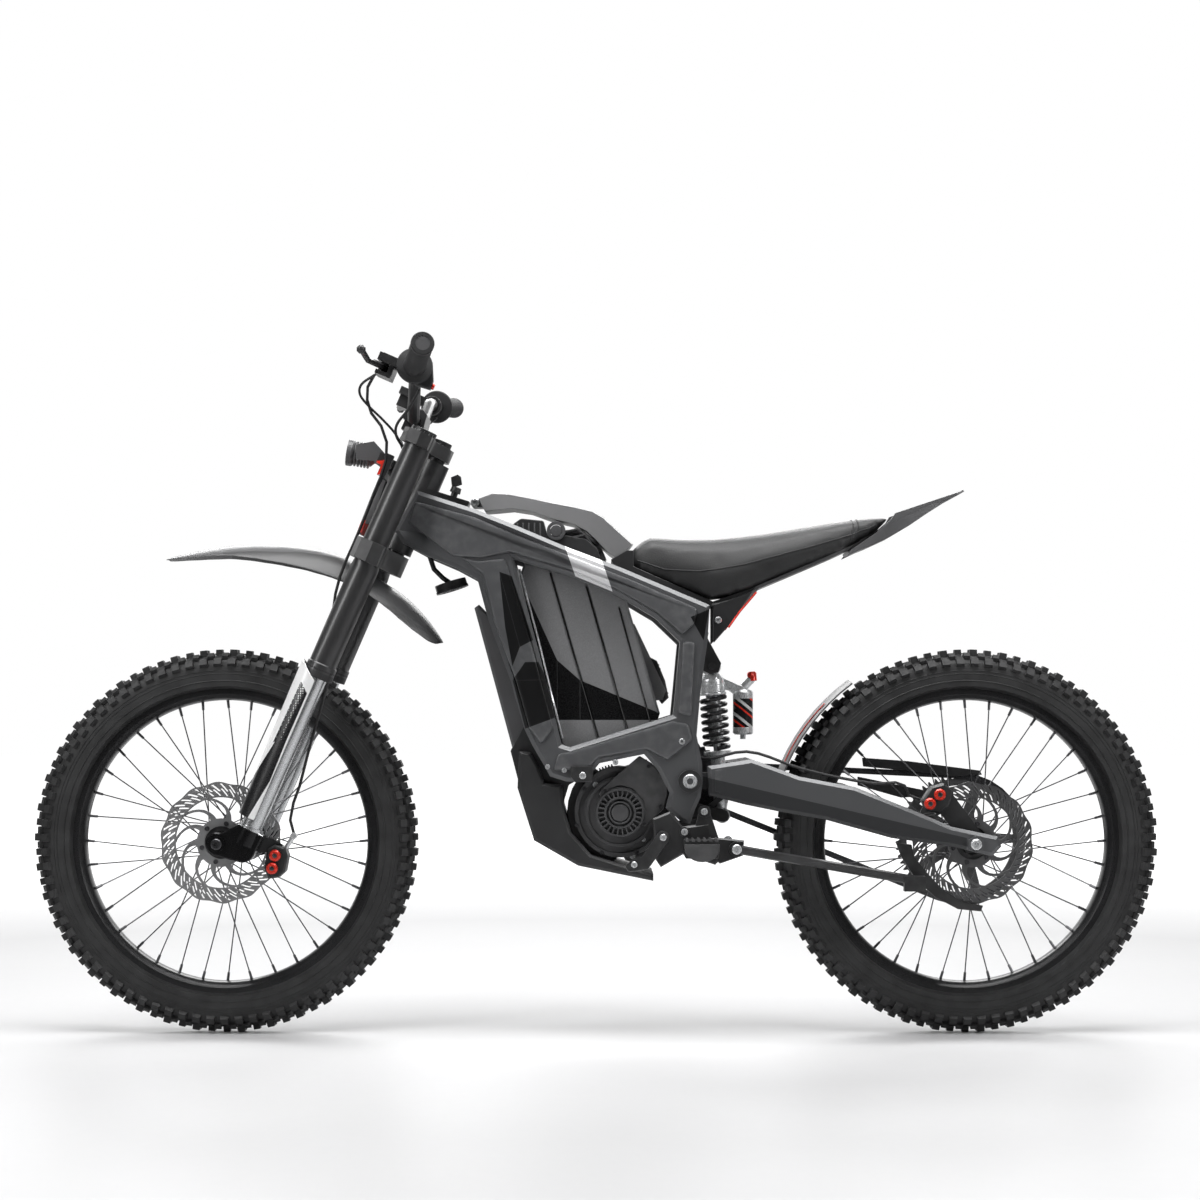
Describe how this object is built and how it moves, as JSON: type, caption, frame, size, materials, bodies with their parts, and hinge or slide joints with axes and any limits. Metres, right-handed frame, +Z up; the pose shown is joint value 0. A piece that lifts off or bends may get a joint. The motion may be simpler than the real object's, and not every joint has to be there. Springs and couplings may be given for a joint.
{
  "type": "electric dirt motorcycle",
  "caption": "Electric dirt motorcycle with raked front fork, twin-spar frame, linkage rear suspension, folding stand and pegs, and hinged top cover.",
  "frame": {"origin": "on the ground, midway between the wheels, in the middle of the width", "axes": "+X towards the rear wheel, -X the way the bike faces, -Y the rider's left side, +Z up"},
  "size_m": [1.99, 0.8044, 1.1762],
  "materials": {
    "frame_metal": "satin dark grey metallic",
    "black_metal": "satin black",
    "rubber": "matt black",
    "tyre": "matt black",
    "disc_steel": "brushed",
    "bright_metal": "satin bright",
    "grey_plastic": "fine textured grey",
    "dark_plastic": "satin dark grey",
    "white_plastic": "gloss white",
    "battery_gloss": "gloss dark grey",
    "seat_cover": "grained dark synthetic leather",
    "red_plastic": "gloss red"
  },
  "bodies": {
    "chassis": {"frame_left": "frame_metal", "frame_right": "frame_metal", "head_tube": "frame_metal", "shock_mount": "frame_metal", "battery_case": "battery_gloss", "downtube_cover": "grey_plastic", "skid_plate": "dark_plastic", "motor": "black_metal", "peg_carrier": "black_metal", "seat_cushion": "seat_cover", "rear_fender": "grey_plastic", "controller": "dark_plastic", "horn": "dark_plastic", "rear_brake_hose": "rubber"},
    "steering_head": {"fork_tube_left": "black_metal", "fork_tube_right": "black_metal", "steering_stem": "black_metal", "handlebar": "black_metal", "upper_clamp": "frame_metal", "grip_left": "rubber", "lever_perch_left": "black_metal", "lever_perch_right": "black_metal", "switch_pod": "dark_plastic", "number_plate": "white_plastic", "front_fender": "grey_plastic", "front_brake_hose": "rubber"},
    "fork_lower": {"fork_leg_left": "bright_metal", "fork_leg_right": "bright_metal", "fork_guard_left": "white_plastic", "fork_guard_right": "white_plastic", "front_caliper": "black_metal"},
    "front_wheel": {"front_tyre": "tyre", "front_rim": "black_metal", "front_hub": "black_metal", "front_disc": "disc_steel"},
    "swingarm": {"swingarm": "frame_metal", "rear_caliper": "black_metal", "rear_hugger": "grey_plastic", "chain": "disc_steel"},
    "rear_wheel": {"rear_tyre": "tyre", "rear_rim": "black_metal", "rear_hub": "black_metal", "rear_disc": "disc_steel", "rear_sprocket": "disc_steel"},
    "jackshaft": {"jackshaft": "disc_steel"},
    "shock_body": {"shock_body": "bright_metal", "shock_spring": "black_metal"},
    "shock_rod": {"shock_rod": "bright_metal"},
    "rocker": {"shock_rocker": "black_metal"},
    "link": {"shock_link": "black_metal"},
    "brake_lever_left": {"brake_lever_left": "black_metal"},
    "brake_lever_right": {"brake_lever_right": "black_metal"},
    "throttle": {"throttle_grip": "rubber"},
    "switch_button": {"switch_button": "red_plastic"},
    "headlight": {"headlight": "dark_plastic"},
    "key_switch": {"key_switch": "black_metal"},
    "top_cover": {"top_cover": "grey_plastic"},
    "kickstand": {"kickstand": "black_metal"},
    "footpeg_left": {"footpeg_left": "black_metal"},
    "footpeg_right": {"footpeg_right": "black_metal"}
  },
  "joints": [
    {"name": "steering", "type": "hinge", "parent": "chassis", "child": "steering_head", "pos_m": [-0.42432, 0, 0.69383], "axis": [0.3987, 0, 0.9171], "range_deg": [-40, 40]},
    {"name": "fork_slide", "type": "slide", "parent": "steering_head", "child": "fork_lower", "axis": [0.3987, 0, 0.9171], "range_m": [0, 0.15], "stiffness_N_per_m": 7000, "springref_m": -0.08, "deforming": ["front_brake_hose"]},
    {"name": "front_wheel_spin", "type": "hinge", "parent": "fork_lower", "child": "front_wheel", "pos_m": [-0.655, 0, 0.34], "axis": [0, -1, 0], "continuous": true},
    {"name": "swingarm_pivot", "type": "hinge", "parent": "chassis", "child": "swingarm", "pos_m": [0.162, 0, 0.448], "axis": [0, -1, 0], "range_deg": [0, 18], "stiffness_Nm_per_rad": 2143, "springref_deg": -9.17, "deforming": ["rear_brake_hose"]},
    {"name": "rear_wheel_spin", "type": "hinge", "parent": "swingarm", "child": "rear_wheel", "pos_m": [0.655, 0, 0.34], "axis": [0, -1, 0], "continuous": true},
    {"name": "jackshaft_spin", "type": "hinge", "parent": "swingarm", "child": "jackshaft", "pos_m": [0.162, 0, 0.448], "axis": [0, -1, 0], "continuous": true},
    {"name": "shock_swing", "type": "hinge", "parent": "chassis", "child": "shock_body", "pos_m": [0.204, 0, 0.649], "axis": [0, -1, 0], "range_deg": [0, 1.2]},
    {"name": "shock_stroke", "type": "slide", "parent": "shock_body", "child": "shock_rod", "axis": [-0.0755, 0, 0.9971], "range_m": [0, 0.042], "deforming": ["shock_spring"]},
    {"name": "rocker_swing", "type": "hinge", "parent": "chassis", "child": "rocker", "pos_m": [0.15, 0, 0.402], "axis": [0, -1, 0], "range_deg": [0, 32]},
    {"name": "link_swing", "type": "hinge", "parent": "swingarm", "child": "link", "pos_m": [0.225, 0, 0.425], "axis": [0, -1, 0], "range_deg": [-32, 0]},
    {"name": "brake_lever_left_pull", "type": "hinge", "parent": "steering_head", "child": "brake_lever_left", "pos_m": [-0.3575, -0.214, 1.14739], "axis": [0.3987, 0, 0.9171], "range_deg": [0, 15], "stiffness_Nm_per_rad": 2, "springref_deg": -14.32},
    {"name": "brake_lever_right_pull", "type": "hinge", "parent": "steering_head", "child": "brake_lever_right", "pos_m": [-0.3575, 0.214, 1.14739], "axis": [-0.3987, 0, -0.9171], "range_deg": [0, 15], "stiffness_Nm_per_rad": 2, "springref_deg": -14.32},
    {"name": "throttle_twist", "type": "hinge", "parent": "steering_head", "child": "throttle", "pos_m": [-0.3021, 0.258, 1.1439], "axis": [0.1704, 0.9788, 0.1136], "range_deg": [0, 70], "stiffness_Nm_per_rad": 0.3, "springref_deg": -17.19},
    {"name": "switch_press", "type": "slide", "parent": "steering_head", "child": "switch_button", "axis": [-0.9171, 0, 0.3987], "range_m": [0, 0.002], "stiffness_N_per_m": 500, "springref_m": -0.002},
    {"name": "headlight_tilt", "type": "hinge", "parent": "steering_head", "child": "headlight", "pos_m": [-0.38, 0, 1.015], "axis": [0, 1, 0], "range_deg": [-15, 15]},
    {"name": "key_turn", "type": "hinge", "parent": "chassis", "child": "key_switch", "pos_m": [-0.25079, 0, 0.958], "axis": [0.3265, 0, 0.9452], "range_deg": [0, 90]},
    {"name": "cover_open", "type": "hinge", "parent": "chassis", "child": "top_cover", "pos_m": [-0.214, 0, 0.938], "axis": [0, -1, 0], "range_deg": [0, 60]},
    {"name": "kickstand_swing", "type": "hinge", "parent": "chassis", "child": "kickstand", "pos_m": [0.242, -0.128, 0.332], "axis": [0, 1, 0], "range_deg": [0, 85]},
    {"name": "footpeg_left_fold", "type": "hinge", "parent": "chassis", "child": "footpeg_left", "pos_m": [0.18, -0.119, 0.346], "axis": [-1, 0, 0], "range_deg": [0, 60], "stiffness_Nm_per_rad": 2, "springref_deg": -28.65},
    {"name": "footpeg_right_fold", "type": "hinge", "parent": "chassis", "child": "footpeg_right", "pos_m": [0.18, 0.119, 0.346], "axis": [1, 0, 0], "range_deg": [0, 60], "stiffness_Nm_per_rad": 2, "springref_deg": -28.65}
  ],
  "couplings": [
    {"joint": "jackshaft_spin", "follows": "rear_wheel_spin", "ratio": 4},
    {"joint": "shock_swing", "follows": "swingarm_pivot", "ratio": 0.045713},
    {"joint": "shock_stroke", "follows": "swingarm_pivot", "m_per_rad": 0.12642},
    {"joint": "rocker_swing", "follows": "swingarm_pivot", "ratio": 1.6905},
    {"joint": "link_swing", "follows": "swingarm_pivot", "ratio": -1.656}
  ]
}
